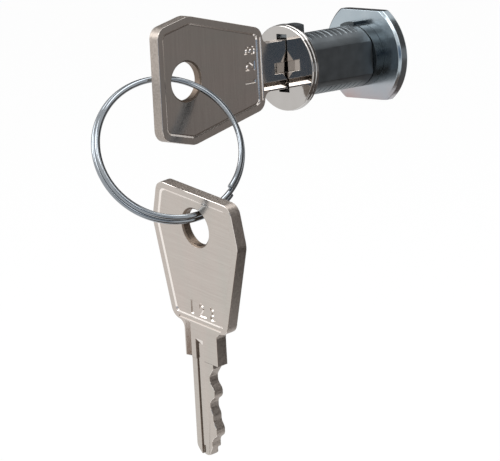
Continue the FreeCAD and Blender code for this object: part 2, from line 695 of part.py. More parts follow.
def hang_spare(key, ring):
    """Hangs the spare key by its hole from the ring's wire."""
    normal = Vector(RING_NORMAL).normalize()
    along = Vector(SPARE_ALONG).normalize()
    turned = FreeCAD.Rotation(along, SPARE_ACROSS, Vector(), "XYZ")
    pitch = value("$ring_wire + $ring_gap")
    angle = value("$ring_hang")
    bend = math.radians(angle)
    radius = value("$ring_mean")
    local = Vector(radius * math.cos(bend), radius * math.sin(bend), pitch * angle / 360)
    crossing = ring.Placement.multVec(local)
    reach = value("$ring_wire / 2") + pitch / 2 * abs(normal.dot(along))
    drop = value("$hole_dia / 2") - reach - value("$hang_gap")
    key.Placement = FreeCAD.Placement(crossing + along * (value("$hole_at") + drop), turned)
    across = turned.multVec(Vector(0, 0, 1))
    print("ring hinge point", 0, value(f"{FACE_FRONT} - $hole_at"), value("$key_rise"))
    print("spare hinge point", [round(v, 3) for v in crossing], "axis", [round(v, 4) for v in across])


make_housing()
make_face_plate()
make_plug()
for number in range(len(CUT_DEPTHS)):
    make_wafer(number)
    make_wafer_spring(number)
make_stop_washer()
make_locking_disc()
make_fasteners()
first_key = make_key("key_in_lock")
upright = FreeCAD.Rotation(Vector(0, 1, 0), Vector(0, 0, 1), Vector(), "XYZ")
first_key.Placement = FreeCAD.Placement(Vector(), upright)
bind(first_key, Placement_of_Base_of_y=FACE_FRONT, Placement_of_Base_of_z="$key_rise")
spare_key = make_key("spare_key")
hang_spare(spare_key, make_ring())
DOC.recompute()

NODES = ["lock_housing", "face_plate", "plug", "stop_washer", "locking_disc"]
NODES += ["spring_washer", "tail_screw"]
for number in range(len(CUT_DEPTHS)):
    NODES += [f"wafer_{number + 1}", f"wafer_spring_{number + 1}"]
NODES += ["key_in_lock", "key_ring", "spare_key"]

for obj in DOC.Objects:
    if "Invalid" in obj.State or "Error" in obj.State:
        raise RuntimeError(f"{obj.Label} failed: {obj.State}")
pieces = {obj.Label: obj for obj in DOC.Objects if obj.Label in NODES}
for node in NODES:
    shape = pieces[node].Shape
    if shape.isNull() or not shape.isValid() or len(shape.Solids) != 1:
        raise RuntimeError(f"{node} isn't one valid solid")

os.makedirs("parts", exist_ok=True)
for node in NODES:
    pieces[node].Shape.exportStep(f"parts/{node}.step")
    print(node, round(pieces[node].Shape.Volume, 2))
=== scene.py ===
"""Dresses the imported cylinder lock, its two keys and their split ring, and sets up the studio.

Metres. Y runs along the lock's axis from the keys to the locking disc, Z is up, and the origin
is on the axis, where the head's flange seats on the door. The pieces are shaped in millimetres
and brought to metres when they are finished.
"""
import math
from contextlib import contextmanager
import bmesh
import bpy
from mathutils import Matrix, Vector


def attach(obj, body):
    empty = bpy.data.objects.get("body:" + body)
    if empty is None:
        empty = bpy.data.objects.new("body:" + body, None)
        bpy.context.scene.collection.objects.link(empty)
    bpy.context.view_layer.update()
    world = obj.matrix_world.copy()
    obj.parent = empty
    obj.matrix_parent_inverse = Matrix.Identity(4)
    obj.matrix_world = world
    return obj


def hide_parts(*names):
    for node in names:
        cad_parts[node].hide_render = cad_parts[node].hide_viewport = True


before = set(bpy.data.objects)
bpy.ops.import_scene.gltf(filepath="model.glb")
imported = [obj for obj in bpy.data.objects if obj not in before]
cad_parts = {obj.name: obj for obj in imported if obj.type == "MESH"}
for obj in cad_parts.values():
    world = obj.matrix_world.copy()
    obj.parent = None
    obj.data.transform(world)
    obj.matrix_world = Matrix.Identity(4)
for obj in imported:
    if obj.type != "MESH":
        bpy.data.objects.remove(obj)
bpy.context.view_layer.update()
MM = 0.001
# A pattern's scale is given as how many of its cells lie in a millimetre
PER_MM = 1 / MM

# The camera as it was fitted to the photograph
CAMERA_PLACE = Vector((1.21735, -1.1610, 0.21196))
CAMERA_RIGHT = Vector((0.6906, 0.7212, -0.0538))
CAMERA_UP = Vector((-0.0678, 0.1386, 0.988))
CAMERA_LENS = 586.04
SENSOR = 36.0

# From here to the studio, lengths are in millimetres.
# Each key's frame: its place, along its blade, across it towards the cuts, and out of its front face
KEY_PLACE = Vector((0, -1.6, 0.9))
KEY_ALONG, KEY_ACROSS, KEY_OUT = Vector((0, 1, 0)), Vector((0, 0, 1)), Vector((1, 0, 0))
SPARE_PLACE = Vector((5.49, -32.93, -55.37))
SPARE_ALONG = Vector((-0.1740, 0.1650, -0.9710)).normalized()
SPARE_ACROSS = Vector((0.982, -0.049, -0.184))
SPARE_ACROSS = (SPARE_ACROSS - SPARE_ALONG * SPARE_ACROSS.dot(SPARE_ALONG)).normalized()
SPARE_OUT = SPARE_ALONG.cross(SPARE_ACROSS)

# The split ring's frame: its middle, the way to the key in the lock, and its own axis
RING_PLACE = Vector((3.432, -38.286, -11.749))
RING_AXIS = Vector((-0.783, 0.406, -0.472)).normalized()
RING_SIDE = RING_AXIS.cross(Vector((-0.223, 0.525, 0.821))).normalized()
RING_TO_KEY = RING_SIDE.cross(RING_AXIS)
# The second turn is a little wider than the first, so that it nests against it
RING_RADIUS, RING_GROWTH, RING_WIRE, RING_PITCH, RING_TURNS = 15.35, 0.45, 1.2, 1.16, 2.0
# The wire's ends lie low on the right in the photograph
RING_ENDS = math.radians(112)

# The bow's face and its sunk panel, in the key's frame
KEY_HALF = 1.3
PANEL_DEPTH = 0.21
PANEL_FLOOR = KEY_HALF - PANEL_DEPTH
PANEL_CORNER = 1.2
PANEL_END, PANEL_END_HALF = -34.5, 10.17
PANEL_WIDEST, PANEL_WIDEST_HALF = -27.3, 11.75
PANEL_SHOULDER, PANEL_SHOULDER_HALF = -8.35, 7.1
# The panel's border from above the rim, down to a fine line and up to the panel's floor. Each row says how
# far it is drawn in and how deep it lies, and how much further it reaches in at the shoulder, which makes
# the slope steep there, and out at the bow's end, which makes it gentle
PANEL_BORDER = ((-0.64, -0.3, 0.3, 0.3), (0.09, 0.27, 0.0, 0.0), (0.39, PANEL_DEPTH, 0.0, 0.0))
# The line before the bow's shoulder: its place, half its length, and its half widths at depths
SHOULDER_LINE, SHOULDER_HALF = -7.38, 6.4
SHOULDER_SIDES = ((0.43, -0.3), (0.02, 0.27))
HOLE_PLACE, HOLE_RADIUS, HOLE_EDGE, HOLE_SIDES = -28.6, 4.02, 0.33, 96
# The brown tone on the hole's wall ends between these radii
HOLE_TINT_INNER, HOLE_TINT_OUTER = 4.3, 4.45

# The front groove: its two walls across the key and a level under its floor
GROOVE_LOWER, GROOVE_UPPER, GROOVE_UNDER = -1.75, 0.55, 0.6
# Its floor: along the key, and the height at the lower and upper wall. It ends in front of the lock for the
# key that is in it, as the keyway's ward fills the groove there
GROOVE_FLOOR = ((-3.7, 1.29, 1.29), (-2.6, 0.85, 1.0), (-0.4, 0.85, 1.0))
GROOVE_SPARE_END = (20.3, 0.85, 1.0)
# The neck of the key in the lock falls away above and below the groove, which catches light in front of
# the face plate: along, across and height of each sloping triangle's corners
NECK_SLOPES = (((-1.9, 0.55, 1.3), (0.9, 0.55, 0.85), (0.9, 4.4, 1.3)),
               ((-1.5, -1.75, 1.3), (0.9, -1.75, 0.75), (0.9, -4.4, 1.1)))
NECK_TOOL_TOP = 1.6

DIGITS, DIGIT_SIZE, DIGIT_DEPTH, DIGIT_PITCH = "123", 3.9, 0.19, 3.3
DIGITS_ALONG, DIGITS_ACROSS = -10.3, 0.9
# A digit's cutter is widest over this height, half above the panel's floor and half below
DIGIT_BAND = 0.02

# The thread grooves on the barrel: along the lock, and their radius, width and reach to each side
THREAD_FROM, THREAD_TO, THREAD_PITCH = 3.6, 17.4, 1.45
THREAD_RADIUS, THREAD_GROOVE, THREAD_HALF = 6.58, 0.54, 4.1
# They reach further round at the lower right than at the upper right
THREAD_TURN = math.radians(-6)
BEYOND_LOCK = 30

# Where the metals change: the flange's bright rim, the disc's painted pink reflection and the plug's painted
# shade
RIM_INNER, RIM_OUTER, RIM_END = 8.75, 8.9, -0.1
PINK_REFLECTION_TOP, PINK_REFLECTION_LOW = -4, -10
PAINTED_SHADE_FRONT, PAINTED_SHADE_END = -0.3, 1.5

# Corners closer than this are one, and faces within this angle are flat together
SAME_CORNER, SAME_FLAT = 0.0005, math.radians(0.6)
WAFERS = 6

# The studio, in metres
FLOOR_LEVEL = -0.098
FLOOR_SIZE = 12.0
FLOOR_OWN_LIGHT = 0.93
LOCK_MIDDLE = (0, -0.02, -0.02)


def placed(place, x, y, z):
    """A matrix that puts local axes x, y and z at a place."""
    turned = Matrix((x, y, z)).transposed()
    return Matrix.Translation(place) @ turned.to_4x4()


KEY_FRAME = placed(KEY_PLACE, KEY_ALONG, KEY_ACROSS, KEY_OUT)
SPARE_FRAME = placed(SPARE_PLACE, SPARE_ALONG, SPARE_ACROSS, SPARE_OUT)
RING_FRAME = placed(RING_PLACE, RING_TO_KEY, RING_SIDE, RING_AXIS)


def linear(code):
    """An sRGB hex colour as linear RGBA."""
    parts = [int(code[i:i + 2], 16) / 255 for i in (1, 3, 5)]
    return [p / 12.92 if p <= 0.04045 else ((p + 0.055) / 1.055) ** 2.4 for p in parts] + [1.0]


def feed(tree, made, sockets):
    """Gives a node's sockets, by name or by place, a value, an output or a node's first live output."""
    for name, given in sockets.items():
        socket = made.inputs[name] if isinstance(name, int) else next(
            entry for entry in made.inputs if entry.enabled and entry.name == name)
        if isinstance(given, bpy.types.Node):
            given = next(output for output in given.outputs if output.enabled)
        if isinstance(given, bpy.types.NodeSocket):
            tree.links.new(given, socket)
        else:
            socket.default_value = given


def add(tree, kind, sockets=None, **settings):
    """Adds a node with its settings and feeds its sockets."""
    made = tree.nodes.new(kind)
    for name, setting in settings.items():
        setattr(made, name, setting)
    feed(tree, made, sockets or {})
    return made


def cleared_tree(owner):
    """The node tree of a material or a world, emptied."""
    owner.use_nodes = True
    owner.node_tree.nodes.clear()
    return owner.node_tree


def start_metal(name):
    """A new metal's material, its tree, its shader and the place on the piece."""
    material = bpy.data.materials.new(name)
    tree = cleared_tree(material)
    shader = add(tree, "ShaderNodeBsdfPrincipled", {"Metallic": 1.0})
    add(tree, "ShaderNodeOutputMaterial", {"Surface": shader})
    return material, tree, shader, add(tree, "ShaderNodeTexCoord").outputs["Object"]


def make_key_nickel(name, local):
    """Nickel silver, stamped and tumbled: warm grey faces that mirror softly, with a faint grain
    across the blade, and blanked edges that are rougher and mottled."""
    material, tree, shader, place = start_metal(name)
    back = local.inverted()
    place = add(tree, "ShaderNodeMapping", {"Vector": place, "Location": back.to_translation() * MM,
                                            "Rotation": back.to_euler()})
    # Grain lines across the blade. The real ones are under 0.1 mm apart; 0.3 mm is as coarse as they need
    # to be to show
    lines = add(tree, "ShaderNodeMapping", {"Vector": place, "Scale": Vector((3.3, 0.11, 3.3)) * PER_MM})
    grain = add(tree, "ShaderNodeTexNoise", {"Vector": lines, "Scale": 1.0, "Detail": 3.0, "Roughness": 0.65})
    # Faint bands along the key, about 3 mm wide, where the strip was rolled
    bands = add(tree, "ShaderNodeMapping", {"Vector": place, "Scale": Vector((0.06, 0.32, 0.32)) * PER_MM})
    bands = add(tree, "ShaderNodeTexNoise", {"Vector": bands, "Scale": 1.0, "Detail": 1.0})
    face = add(tree, "ShaderNodeMix", {"Factor": bands, "A": linear("#CDBFB8"), "B": linear("#B9BBB3")},
               data_type="RGBA")
    face = add(tree, "ShaderNodeMix", {"Factor": grain, "A": face, "B": linear("#B5ABA4")}, data_type="RGBA")
    # Slopes and eased edges are painted near white, a painted highlight for the light they catch
    facing = add(tree, "ShaderNodeTexCoord").outputs["Normal"]
    facing = add(tree, "ShaderNodeVectorMath", {0: facing, 1: local.to_3x3() @ Vector((0, 0, 1))},
                 operation="DOT_PRODUCT")
    facing = add(tree, "ShaderNodeMath", {0: facing}, operation="ABSOLUTE")
    painted_slope_highlight = add(tree, "ShaderNodeMapRange", {"Value": facing, "From Min": 0.985, "From Max": 0.93})
    face = add(tree, "ShaderNodeMix", {"Factor": painted_slope_highlight, "A": face, "B": linear("#F0E9E3")}, data_type="RGBA")
    # Grit of the tumbling on the blanked edges, about 0.4 mm
    grit = add(tree, "ShaderNodeTexNoise", {"Vector": place, "Scale": 2.4 * PER_MM, "Detail": 4.0,
                                            "Roughness": 0.65})
    gritty = add(tree, "ShaderNodeMix", {"Factor": grit, "A": linear("#6E655E"), "B": linear("#CCC3BB")},
                 data_type="RGBA")
    # The hole's wall is as rough as the edges, and its colour turns brown
    apart = add(tree, "ShaderNodeSeparateXYZ", {"Vector": place}).outputs
    from_hole = add(tree, "ShaderNodeMath", {0: apart["X"], 1: -HOLE_PLACE * MM}, operation="ADD")
    from_hole = add(tree, "ShaderNodeCombineXYZ", {"X": from_hole, "Y": apart["Y"]})
    from_hole = add(tree, "ShaderNodeVectorMath", {0: from_hole}, operation="LENGTH")
    hole = add(tree, "ShaderNodeMapRange", {"Value": from_hole, "From Min": HOLE_TINT_INNER * MM,
                                            "From Max": HOLE_TINT_OUTER * MM, "To Min": 1.0, "To Max": 0.0})
    hole_brown = add(tree, "ShaderNodeMath", {0: hole, 1: 0.75}, operation="MULTIPLY")
    gritty = add(tree, "ShaderNodeMix", {"Factor": hole_brown, "A": gritty, "B": linear("#6A5848")},
                 data_type="RGBA")
    edge = add(tree, "ShaderNodeMapRange", {"Value": facing, "From Min": 0.3, "From Max": 0.6,
                                            "To Min": 1.0, "To Max": 0.0})
    edge = add(tree, "ShaderNodeMath", {0: edge, 1: hole}, operation="MAXIMUM")
    colour = add(tree, "ShaderNodeMix", {"Factor": edge, "A": face, "B": gritty}, data_type="RGBA")
    polish = add(tree, "ShaderNodeMapRange", {"Value": grain, "To Min": 0.1, "To Max": 0.2})
    coarse = add(tree, "ShaderNodeMapRange", {"Value": grit, "To Min": 0.3, "To Max": 0.62})
    gloss = add(tree, "ShaderNodeMix", {"Factor": edge, "A": polish, "B": coarse})
    height = add(tree, "ShaderNodeMix", {"Factor": edge, "A": grain, "B": grit})
    relief = add(tree, "ShaderNodeMapRange", {"Value": painted_slope_highlight, "To Min": 0.2, "To Max": 0.06})
    bump = add(tree, "ShaderNodeBump", {"Height": height, "Strength": relief, "Distance": 0.006 * MM})
    feed(tree, shader, {"Base Color": colour, "Roughness": gloss, "Normal": bump})
    return material


def make_polished_plate():
    """Stainless steel, buffed to a mirror: it reflects the key, with hairline buffing marks."""
    material, tree, shader, place = start_metal("polished_stainless_steel")
    clouds = add(tree, "ShaderNodeTexNoise", {"Vector": place, "Scale": 0.24 * PER_MM, "Detail": 2.0})
    colour = add(tree, "ShaderNodeMix", {"Factor": clouds, "A": linear("#AFABA7"), "B": linear("#BDBAB7")},
                 data_type="RGBA")
    # Buffing marks across the plate, about 0.1 mm apart
    marks = add(tree, "ShaderNodeMapping", {"Vector": place, "Scale": Vector((0.9, 0.9, 9.0)) * PER_MM})
    marks = add(tree, "ShaderNodeTexNoise", {"Vector": marks, "Scale": 1.0, "Detail": 4.0, "Roughness": 0.7})
    gloss = add(tree, "ShaderNodeMapRange", {"Value": marks, "To Min": 0.02, "To Max": 0.1})
    feed(tree, shader, {"Base Color": colour, "Roughness": gloss})
    return material


def make_zinc_casting():
    """Zinc die casting, chromated dark: slate grey with a satin grain; the flange's rim is turned bright."""
    material, tree, shader, place = start_metal("dark_chromated_zinc_casting")
    clouds = add(tree, "ShaderNodeTexNoise", {"Vector": place, "Scale": 0.35 * PER_MM, "Detail": 2.0})
    dark = add(tree, "ShaderNodeMix", {"Factor": clouds, "A": linear("#595E61"), "B": linear("#7E8488")},
               data_type="RGBA")
    apart = add(tree, "ShaderNodeSeparateXYZ", {"Vector": place}).outputs
    radius = add(tree, "ShaderNodeCombineXYZ", {"X": apart["X"], "Z": apart["Z"]})
    radius = add(tree, "ShaderNodeVectorMath", {0: radius}, operation="LENGTH")
    rim = add(tree, "ShaderNodeMapRange", {"Value": radius, "From Min": RIM_INNER * MM,
                                           "From Max": RIM_OUTER * MM})
    front = add(tree, "ShaderNodeMapRange", {"Value": apart["Y"], "From Min": RIM_END * MM, "From Max": 0.0,
                                             "To Min": 1.0, "To Max": 0.0})
    rim = add(tree, "ShaderNodeMath", {0: rim, 1: front}, operation="MULTIPLY")
    colour = add(tree, "ShaderNodeMix", {"Factor": rim, "A": dark, "B": linear("#B9B7B5")}, data_type="RGBA")
    # Pores of the casting, about 0.5 mm
    pores = add(tree, "ShaderNodeTexNoise", {"Vector": place, "Scale": 2.2 * PER_MM, "Detail": 3.0,
                                             "Roughness": 0.6})
    satin = add(tree, "ShaderNodeMapRange", {"Value": pores, "To Min": 0.32, "To Max": 0.5})
    gloss = add(tree, "ShaderNodeMix", {"Factor": rim, "A": satin, "B": 0.12})
    bump = add(tree, "ShaderNodeBump", {"Height": pores, "Strength": 0.4, "Distance": 0.01 * MM})
    feed(tree, shader, {"Base Color": colour, "Roughness": gloss, "Normal": bump})
    return material


def make_bright_zinc():
    """Steel disc, zinc plated and blue passivated: a cold, slightly milky mirror, with a pinkish reflection
    painted on its lower part.
    """
    material, tree, shader, place = start_metal("blue_passivated_zinc")
    plating_clouds = add(tree, "ShaderNodeTexNoise", {"Vector": place, "Scale": 0.13 * PER_MM, "Detail": 2.0,
                                             "Roughness": 0.6})
    blue = add(tree, "ShaderNodeMix", {"Factor": plating_clouds, "A": linear("#98A6AF"), "B": linear("#B9C2C7")},
               data_type="RGBA")
    # Painted reflection: from 4 mm to 10 mm below the axis the colour turns pinkish, for the pinkish light
    # the disc reflects low down
    height = add(tree, "ShaderNodeSeparateXYZ", {"Vector": place}).outputs["Z"]
    low = add(tree, "ShaderNodeMapRange", {"Value": height, "From Min": PINK_REFLECTION_TOP * MM,
                                           "From Max": PINK_REFLECTION_LOW * MM})
    low = add(tree, "ShaderNodeMath", {0: low, 1: plating_clouds}, operation="MULTIPLY")
    colour = add(tree, "ShaderNodeMix", {"Factor": low, "A": blue, "B": linear("#A8837A")}, data_type="RGBA")
    # Crystals of the plating, about 0.4 mm
    fine = add(tree, "ShaderNodeTexNoise", {"Vector": place, "Scale": 2.5 * PER_MM, "Detail": 3.0})
    gloss = add(tree, "ShaderNodeMapRange", {"Value": fine, "To Min": 0.16, "To Max": 0.26})
    bump = add(tree, "ShaderNodeBump", {"Height": fine, "Strength": 0.2, "Distance": 0.004 * MM})
    feed(tree, shader, {"Base Color": colour, "Roughness": gloss, "Normal": bump})
    return material


def make_plug_brass():
    """Brass plug, turned: plain yellow metal, its front painted near black where the key enters, as painted
    shade for the dark keyway.
    """
    material, tree, shader, place = start_metal("turned_brass_with_painted_shade")
    clouds = add(tree, "ShaderNodeTexNoise", {"Vector": place, "Scale": 0.5 * PER_MM, "Detail": 3.0})
    brass = add(tree, "ShaderNodeMix", {"Factor": clouds, "A": linear("#A08248"), "B": linear("#D8BC82")},
                data_type="RGBA")
    # Painted shade: the plug's front, down in the keyway's slot, turns near black
    depth = add(tree, "ShaderNodeSeparateXYZ", {"Vector": place}).outputs["Y"]
    front = add(tree, "ShaderNodeMapRange", {"Value": depth, "From Min": PAINTED_SHADE_FRONT * MM,
                                             "From Max": PAINTED_SHADE_END * MM, "To Min": 1.0, "To Max": 0.0})
    colour = add(tree, "ShaderNodeMix", {"Factor": front, "A": brass, "B": linear("#1B1A19")},
                 data_type="RGBA")
    # Turning marks round the axis, about 0.15 mm apart
    rings = add(tree, "ShaderNodeMapping", {"Vector": place, "Scale": Vector((0.3, 7.0, 0.3)) * PER_MM})
    rings = add(tree, "ShaderNodeTexNoise", {"Vector": rings, "Scale": 1.0, "Detail": 2.0})
    gloss = add(tree, "ShaderNodeMapRange", {"Value": rings, "To Min": 0.2, "To Max": 0.45})
    feed(tree, shader, {"Base Color": colour, "Roughness": gloss})
    return material


def make_clouded(name, dark, light, size, polish, matt):
    """A metal whose tone and gloss vary in clouds of a size in millimetres."""
    material, tree, shader, place = start_metal(name)
    clouds = add(tree, "ShaderNodeTexNoise", {"Vector": place, "Scale": 1 / (size * MM), "Detail": 3.0})
    colour = add(tree, "ShaderNodeMix", {"Factor": clouds, "A": linear(dark), "B": linear(light)},
                 data_type="RGBA")
    gloss = add(tree, "ShaderNodeMapRange", {"Value": clouds, "To Min": polish, "To Max": matt})
    feed(tree, shader, {"Base Color": colour, "Roughness": gloss})
    return material


@contextmanager
def grid_of(piece):
    """A piece's mesh as a bmesh to work on, written back at the end."""
    grid = bmesh.new()
    grid.from_mesh(piece.data)
    yield grid
    grid.to_mesh(piece.data)
    grid.free()


def new_object(name, data):
    """A new object with its data, in the scene."""
    made = bpy.data.objects.new(name, data)
    bpy.context.scene.collection.objects.link(made)
    return made


def empty_piece(name):
    """A new piece without any geometry."""
    return new_object(name, bpy.data.meshes.new(name))


def tidy_faces(piece):
    """Joins a piece's doubled corners and makes its flat faces whole."""
    with grid_of(piece) as grid:
        bmesh.ops.remove_doubles(grid, verts=grid.verts, dist=SAME_CORNER)
        bmesh.ops.dissolve_limit(grid, angle_limit=SAME_FLAT, verts=grid.verts, edges=grid.edges)
    return piece


def close_mesh(piece):
    """Joins a piece's doubled corners and turns its faces outwards."""
    with grid_of(piece) as grid:
        bmesh.ops.remove_doubles(grid, verts=grid.verts, dist=SAME_CORNER)
        bmesh.ops.recalc_face_normals(grid, faces=grid.faces)
    return piece


def merged(name):
    """A copy of a CAD node in millimetres, with its corners joined and its flat faces whole."""
    piece = new_object("dressed_" + name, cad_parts[name].data.copy())
    piece.data.transform(Matrix.Scale(1 / MM, 4))
    return tidy_faces(piece)


def plain_mesh(piece):
    """A piece's mesh as its modifiers leave it."""
    return bpy.data.meshes.new_from_object(piece.evaluated_get(bpy.context.evaluated_depsgraph_get()))


def apply_modifiers(piece):
    """Turns a piece with its modifiers into a plain mesh."""
    mesh = plain_mesh(piece)
    piece.modifiers.clear()
    piece.data = mesh
    return piece


def ease(piece, width, segments=2, least=25):
    """Rounds the edges sharper than an angle."""
    bevel = piece.modifiers.new("eased_edges", "BEVEL")
    bevel.width = width
    bevel.segments = segments
    bevel.limit_method = "ANGLE"
    bevel.angle_limit = math.radians(least)
    bevel.use_clamp_overlap = False
    return apply_modifiers(piece)


def smooth(piece, limit=30, has_flats=True):
    """Smooth shading, with edges sharper than the limit kept sharp and flat faces kept flat."""
    with grid_of(piece) as grid:
        for face in grid.faces:
            face.smooth = True
        for edge in grid.edges:
            edge.smooth = len(edge.link_faces) == 2 and edge.calc_face_angle(0.0) < math.radians(limit)
    if not has_flats:
        return piece
    weighted = piece.modifiers.new("flat_faces_stay_flat", "WEIGHTED_NORMAL")
    weighted.keep_sharp = True
    weighted.weight = 100
    return apply_modifiers(piece)


def combine(piece, tool, operation="DIFFERENCE"):
    """A boolean of a piece with a tool, which is then removed."""
    boolean = piece.modifiers.new("boolean", "BOOLEAN")
    boolean.solver = "MANIFOLD"
    boolean.operation = operation
    boolean.object = tool
    apply_modifiers(piece)
    bpy.data.objects.remove(tool)
    return piece


def paint(piece, material):
    """Gives a whole piece one material."""
    piece.data.materials.clear()
    piece.data.materials.append(material)


def finish_piece(piece, body, material, node):
    """Takes a piece from millimetres to metres, paints it and lets it stand for its CAD node."""
    piece.data.transform(Matrix.Scale(MM, 4))
    paint(piece, material)
    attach(piece, body)
    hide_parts(node)


def stacked_tool(name, loops):
    """A closed body through loops of equally many points, for a boolean."""
    tool = empty_piece(name)
    with grid_of(tool) as grid:
        rings = [[grid.verts.new(point) for point in loop] for loop in loops]
        count = len(rings[0])
        for here, there in zip(rings, rings[1:]):
            for k in range(count):
                n = (k + 1) % count
                grid.faces.new((here[k], here[n], there[n], there[k]))
        grid.faces.new(rings[0])
        grid.faces.new(rings[-1])
    return close_mesh(tool)


def slab_tool(name, low, high):
    """A box between two corners, for a boolean."""
    tool = empty_piece(name)
    with grid_of(tool) as grid:
        bmesh.ops.create_cube(grid, size=1.0)
        for vert in grid.verts:
            vert.co = Vector([low[i] if vert.co[i] < 0 else high[i] for i in range(3)])
    return tool


def rounded(corners, radius, inwards, steps=8):
    """A convex outline drawn in by a distance, its corners rounded about the same middles."""
    points = []
    count = len(corners)
    for k in range(count):
        here = Vector(corners[k])
        to_last = (Vector(corners[k - 1]) - here).normalized()
        to_next = (Vector(corners[(k + 1) % count]) - here).normalized()
        half = to_last.angle(to_next) / 2
        middle = here + (to_last + to_next).normalized() * radius / math.sin(half)
        start = middle - here - to_last * (middle - here).dot(to_last)
        end = middle - here - to_next * (middle - here).dot(to_next)
        for step in range(steps + 1):
            ray = start.lerp(end, step / steps).normalized()
            points.append(middle - ray * (radius - inwards))
    return points


def panel_tool(local, side):
    """The bow's sunk panel as a cutter: a fine line with sloping sides runs round its border."""
    loops = []
    for inwards, depth, further_in, further_out in PANEL_BORDER:
        level = side * (KEY_HALF - depth)
        upper = [(PANEL_END - further_out, PANEL_END_HALF), (PANEL_WIDEST, PANEL_WIDEST_HALF),
                 (PANEL_SHOULDER - further_in, PANEL_SHOULDER_HALF)]
        outline = upper + [(along, -across) for along, across in reversed(upper)]
        loops.append([local @ Vector((*point, level)) for point in rounded(outline, PANEL_CORNER, inwards)])
    return stacked_tool("panel_tool", loops)


def line_tool(local, side):
    """The fine line across the bow before its shoulder, as a cutter."""
    loops = []
    for half, depth in SHOULDER_SIDES:
        loops.append([local @ Vector((SHOULDER_LINE + x * half, y * (SHOULDER_HALF + half),
                                      side * (KEY_HALF - depth)))
                      for x, y in ((-1, -1), (1, -1), (1, 1), (-1, 1))])
    return stacked_tool("line_tool", loops)


def groove_floor(local, *ends):
    """The front groove's floor, which slopes up to its start and to its upper wall, to be joined on."""
    loops = []
    for along, lower, upper in (*GROOVE_FLOOR, *ends):
        corners = ((GROOVE_LOWER, GROOVE_UNDER), (GROOVE_UPPER, GROOVE_UNDER),
                   (GROOVE_UPPER, upper), (GROOVE_LOWER, lower))
        loops.append([local @ Vector((along, across, out)) for across, out in corners])
    return stacked_tool("groove_floor", loops)


def slope_tool(local, corners):
    """A sloping facet of the neck's front, as a cutter."""
    under = [local @ Vector(corner) for corner in corners]
    over = [local @ Vector((along, across, NECK_TOOL_TOP)) for along, across, out in corners]
    return stacked_tool("slope_tool", (under, over))


def hole_tool(local):
    """The ring hole with its two chamfers, truly round, as a cutter."""
    deep, high = PANEL_FLOOR - HOLE_EDGE, PANEL_FLOOR + HOLE_EDGE
    wide = HOLE_RADIUS + 2 * HOLE_EDGE
    angles = [2 * math.pi * k / HOLE_SIDES for k in range(HOLE_SIDES)]
    loops = []
    for level, radius in ((-high, wide), (-deep, HOLE_RADIUS), (deep, HOLE_RADIUS), (high, wide)):
        loops.append([local @ Vector((HOLE_PLACE + radius * math.cos(a), radius * math.sin(a), level))
                      for a in angles])
    return stacked_tool("hole_tool", loops)


def digit_tool(digit, local, across):
    """One digit as a cutter with sloping sides, upright towards the bow's end."""
    letter = bpy.data.curves.new("digit_" + digit, "FONT")
    letter.body = digit
    letter.size = DIGIT_SIZE
    letter.align_x = "CENTER"
    letter.align_y = "CENTER"
    letter.extrude = DIGIT_BAND
    letter.bevel_depth = DIGIT_DEPTH
    letter.bevel_resolution = 0
    text = new_object("digit_" + digit, letter)
    bpy.context.view_layer.update()
    mesh = plain_mesh(text)
    bpy.data.objects.remove(text)
    turned = local.to_3x3()
    right, up, out = turned @ Vector((0, 1, 0)), turned @ Vector((-1, 0, 0)), turned @ Vector((0, 0, 1))
    middle = local @ Vector((DIGITS_ALONG, across, PANEL_FLOOR + DIGIT_BAND / 2))
    mesh.transform(placed(middle, right, up, out))
    return close_mesh(new_object("digit_tool", mesh))


def run_tree(piece, tree, values):
    """Runs a Geometry Nodes tree on a piece and keeps the result as its mesh."""
    modifier = piece.modifiers.new(tree.name, "NODES")
    modifier.node_group = tree
    names = {item.name: item.identifier for item in tree.interface.items_tree if item.in_out == "INPUT"}
    for name, given in values.items():
        modifier[names[name]] = given
    return apply_modifiers(piece)


def make_wound_wire(material):
    """A tree for a wire wound in even turns about Z, centred on the origin: the ring and the thread."""
    tree = bpy.data.node_groups.new("wound_wire", "GeometryNodeTree")
    tree.interface.new_socket("Geometry", in_out="OUTPUT", socket_type="NodeSocketGeometry")
    for label in ("Start Radius", "End Radius", "Turns", "Pitch", "Wire"):
        tree.interface.new_socket(label, in_out="INPUT", socket_type="NodeSocketFloat")
    for label in ("Steps", "Sides"):
        tree.interface.new_socket(label, in_out="INPUT", socket_type="NodeSocketInt")
    given = add(tree, "NodeGroupInput").outputs
    height = add(tree, "ShaderNodeMath", {0: given["Turns"], 1: given["Pitch"]}, operation="MULTIPLY")
    line = add(tree, "GeometryNodeCurveSpiral", {"Resolution": given["Steps"], "Rotations": given["Turns"],
                                                 "Start Radius": given["Start Radius"],
                                                 "End Radius": given["End Radius"], "Height": height})
    half = add(tree, "ShaderNodeMath", {0: given["Wire"], 1: 0.5}, operation="MULTIPLY")
    section = add(tree, "GeometryNodeCurvePrimitiveCircle", {"Resolution": given["Sides"], "Radius": half})
    tube = add(tree, "GeometryNodeCurveToMesh", {"Curve": line, "Profile Curve": section, "Fill Caps": True})
    down = add(tree, "ShaderNodeMath", {0: height, 1: -0.5}, operation="MULTIPLY")
    down = add(tree, "ShaderNodeCombineXYZ", {"Z": down})
    centred = add(tree, "GeometryNodeTransform", {"Geometry": tube, "Translation": down})
    whole = add(tree, "GeometryNodeRealizeInstances", {"Geometry": centred})
    painted = add(tree, "GeometryNodeSetMaterial", {"Geometry": whole, "Material": material})
    add(tree, "NodeGroupOutput", {"Geometry": painted})
    return tree


